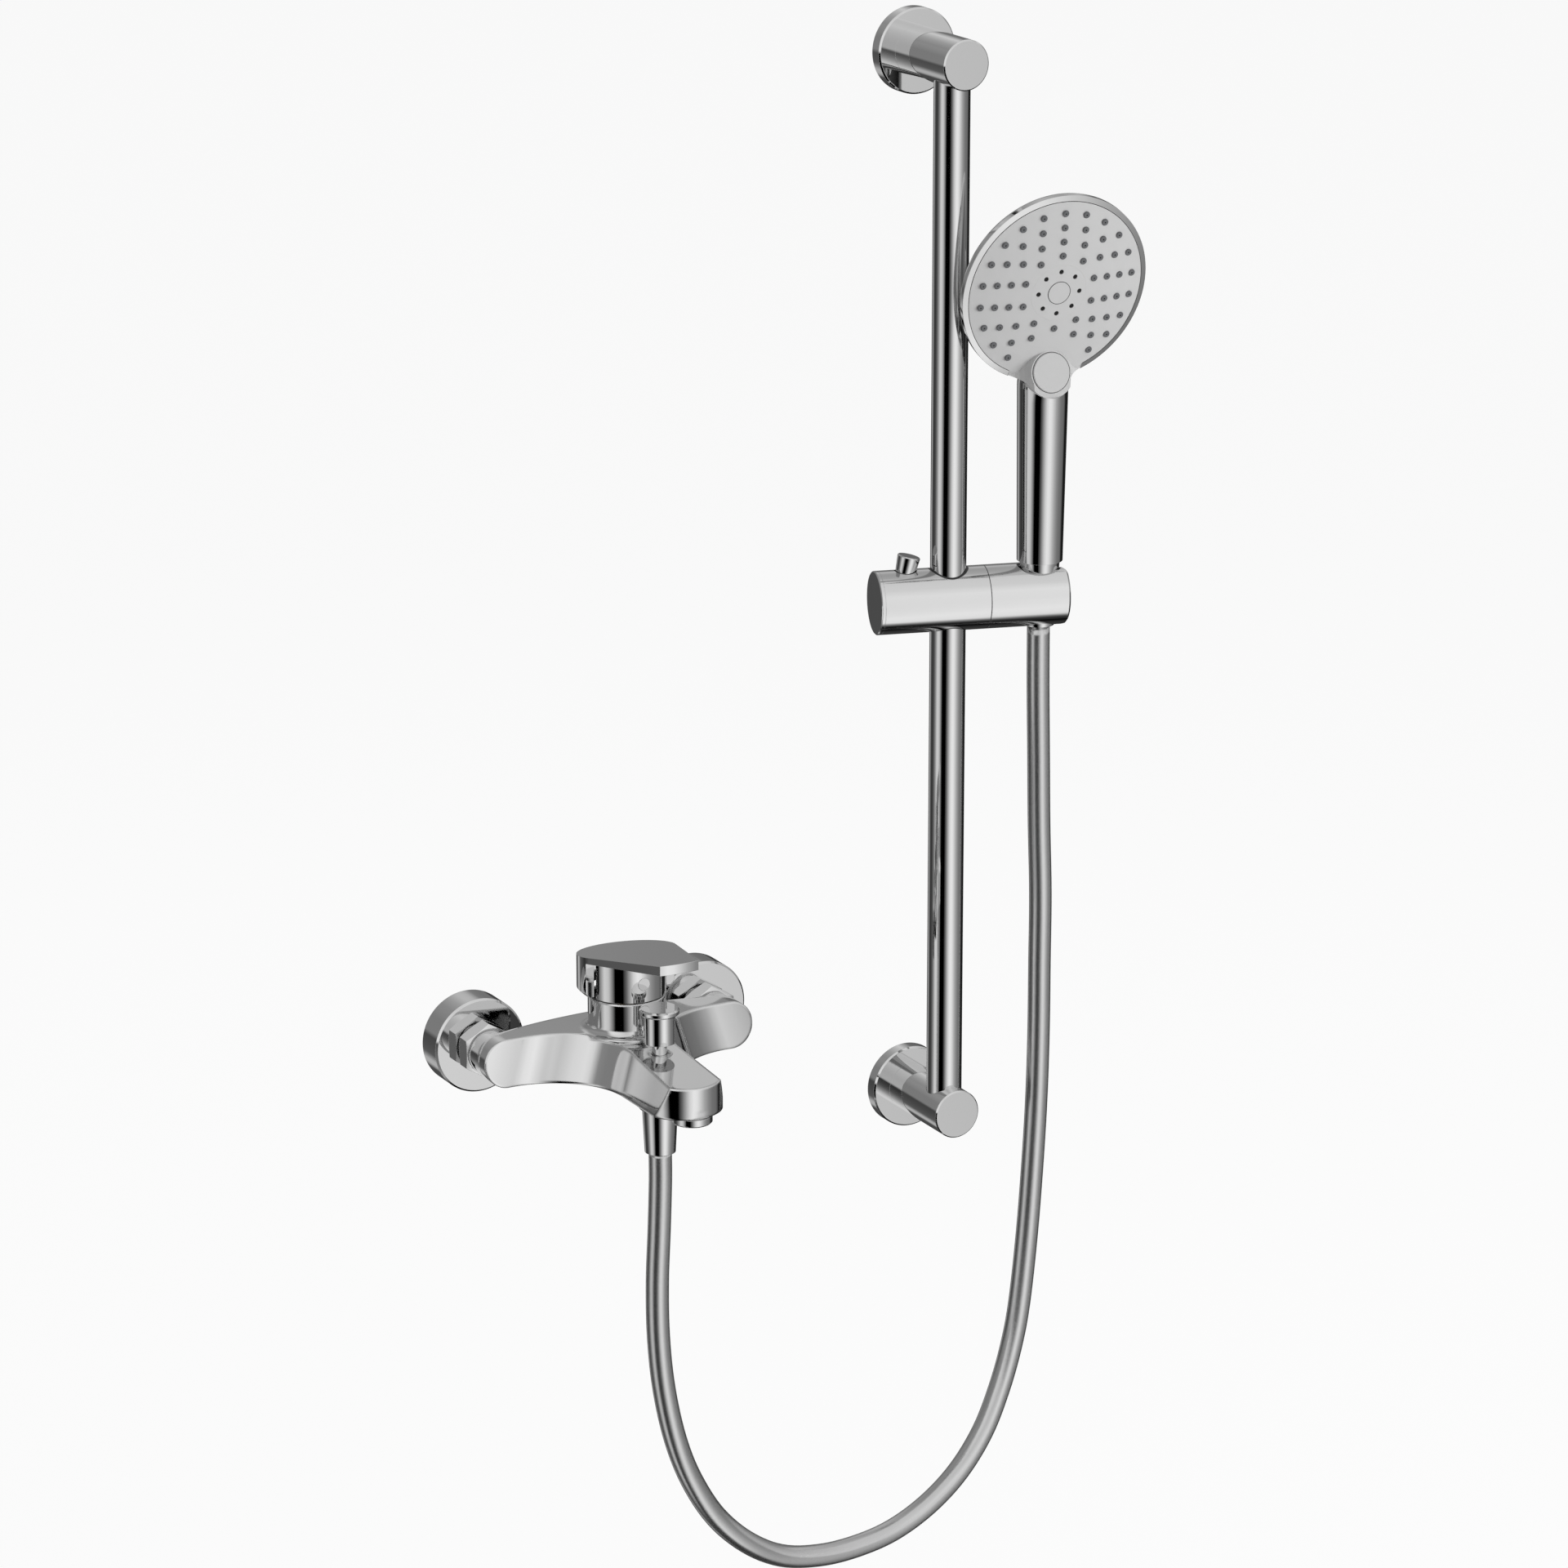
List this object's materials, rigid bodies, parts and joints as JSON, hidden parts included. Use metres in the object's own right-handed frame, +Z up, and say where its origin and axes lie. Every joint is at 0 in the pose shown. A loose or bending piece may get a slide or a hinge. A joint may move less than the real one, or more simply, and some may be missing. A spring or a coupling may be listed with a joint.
{
  "type": "bath shower mixer",
  "caption": "Wall-mounted single-lever bath mixer with a fixed spout, pull-up diverter, hose and a hand shower held by a sliding, swivelling holder on a rail.",
  "frame": {"origin": "midway between the two water inlets, on the finished wall", "axes": "+Z up, -Y out of the wall towards the user, +X to the user's right"},
  "size_m": [0.4453, 0.177, 0.9538],
  "materials": {
    "chrome": "polished chrome",
    "chrome_plated_plastic": "chrome-plated plastic",
    "brass": "machined brass",
    "steel": "plain steel",
    "ceramic": "ground ceramic",
    "rubber": "black rubber",
    "white_plastic": "moulded plastic",
    "black_plastic": "black acetal",
    "grey_plastic": "satin light grey",
    "nozzle_rubber": "soft grey rubber",
    "silver_hose": "satin silver"
  },
  "bodies": {
    "fixed": {"mixer_body": "chrome", "left_rosette": "chrome", "right_rosette": "chrome", "left_wall_union": "chrome", "right_wall_union": "chrome", "left_union_nut": "chrome", "right_union_nut": "chrome", "inlet_nipples": "chrome", "inlet_washers": "rubber", "cartridge_housing": "white_plastic", "cartridge_lock_nut": "brass", "ceramic_seat_disc": "ceramic", "diverter_bush": "chrome", "aerator_ring": "chrome", "aerator_insert": "white_plastic", "aerator_seal": "rubber", "outlet_nipple": "brass", "hose_nut_lower": "chrome", "hose_washer_lower": "rubber", "hose": "silver_hose", "rail_tube": "chrome", "rail_plugs": "white_plastic", "upper_flange": "chrome", "lower_flange": "chrome", "upper_post": "chrome", "lower_post": "chrome", "wall_plates": "steel", "bracket_grub_screws": "steel"},
    "turret": {"cartridge_turret": "white_plastic", "ceramic_control_disc": "ceramic", "spindle_pin": "steel"},
    "lever": {"lever": "chrome", "lever_spindle": "brass", "lever_screw": "steel", "lever_plug": "chrome"},
    "diverter": {"diverter_knob": "chrome", "diverter_rod": "chrome", "diverter_seal": "rubber"},
    "bush": {"slider_bush": "black_plastic"},
    "slider": {"slider_body": "chrome_plated_plastic", "slider_end_cap": "chrome_plated_plastic", "slider_button_spring": "steel", "brake_spring": "steel", "holder_axle": "steel", "holder_screw": "steel", "friction_washer": "steel"},
    "brake": {"brake_shoe": "rubber"},
    "slide_button": {"slider_button": "chrome_plated_plastic"},
    "holder": {"holder": "chrome_plated_plastic"},
    "handset": {"handset_shell": "chrome_plated_plastic", "handset_face": "grey_plastic", "nozzle_mat": "nozzle_rubber", "jet_insert": "grey_plastic", "centre_cap": "grey_plastic", "spray_plate": "black_plastic", "spray_button_spring": "steel", "handset_tail": "brass", "hose_washer_upper": "rubber", "hose_nut_upper": "chrome_plated_plastic"},
    "spray_button": {"spray_button": "grey_plastic"}
  },
  "joints": [
    {"name": "lever_turn", "type": "hinge", "parent": "fixed", "child": "turret", "pos_m": [0, -0.066, 0.024], "axis": [0, 0, 1], "range_deg": [-45, 45]},
    {"name": "lever_lift", "type": "hinge", "parent": "turret", "child": "lever", "pos_m": [0, -0.066, 0.024], "axis": [-1, 0, 0], "range_deg": [0, 25]},
    {"name": "diverter_pull", "type": "slide", "parent": "fixed", "child": "diverter", "axis": [0, 0, 1], "range_m": [0, 0.008], "stiffness_N_per_m": 150, "springref_m": -0.004},
    {"name": "rail_slide", "type": "slide", "parent": "fixed", "child": "bush", "axis": [0, 0, 1], "range_m": [-0.28, 0.06], "deforming": ["hose"]},
    {"name": "slider_swivel", "type": "hinge", "parent": "bush", "child": "slider", "pos_m": [0.2273, -0.0505, 0.2466], "axis": [0, 0, 1], "range_deg": [-60, 35], "deforming": ["hose"]},
    {"name": "slide_button_press", "type": "slide", "parent": "slider", "child": "slide_button", "axis": [-0.2174, 0.0578, -0.9744], "range_m": [0, 0.002], "stiffness_N_per_m": 1500, "springref_m": -0.001, "deforming": ["slider_button_spring", "brake_spring"]},
    {"name": "brake_release", "type": "slide", "parent": "slider", "child": "brake", "axis": [-0.9664, 0.2571, 0], "range_m": [0, 0.0018], "deforming": ["brake_spring", "slider_button_spring"]},
    {"name": "holder_tilt", "type": "hinge", "parent": "slider", "child": "holder", "pos_m": [0.2273, -0.0505, 0.2466], "axis": [0.9664, -0.2571, 0], "range_deg": [-1, 40], "deforming": ["hose"]},
    {"name": "handset_lift", "type": "slide", "parent": "holder", "child": "handset", "axis": [-0.0045, -0.0169, 0.9998], "range_m": [0, 0.05], "deforming": ["hose"]},
    {"name": "spray_button_press", "type": "slide", "parent": "handset", "child": "spray_button", "axis": [0.0759, 0.9786, -0.1911], "range_m": [0, 0.0025], "stiffness_N_per_m": 800, "springref_m": -0.001, "deforming": ["spray_button_spring"]}
  ],
  "couplings": [
    {"joint": "brake_release", "follows": "slide_button_press", "ratio": 0.834}
  ]
}
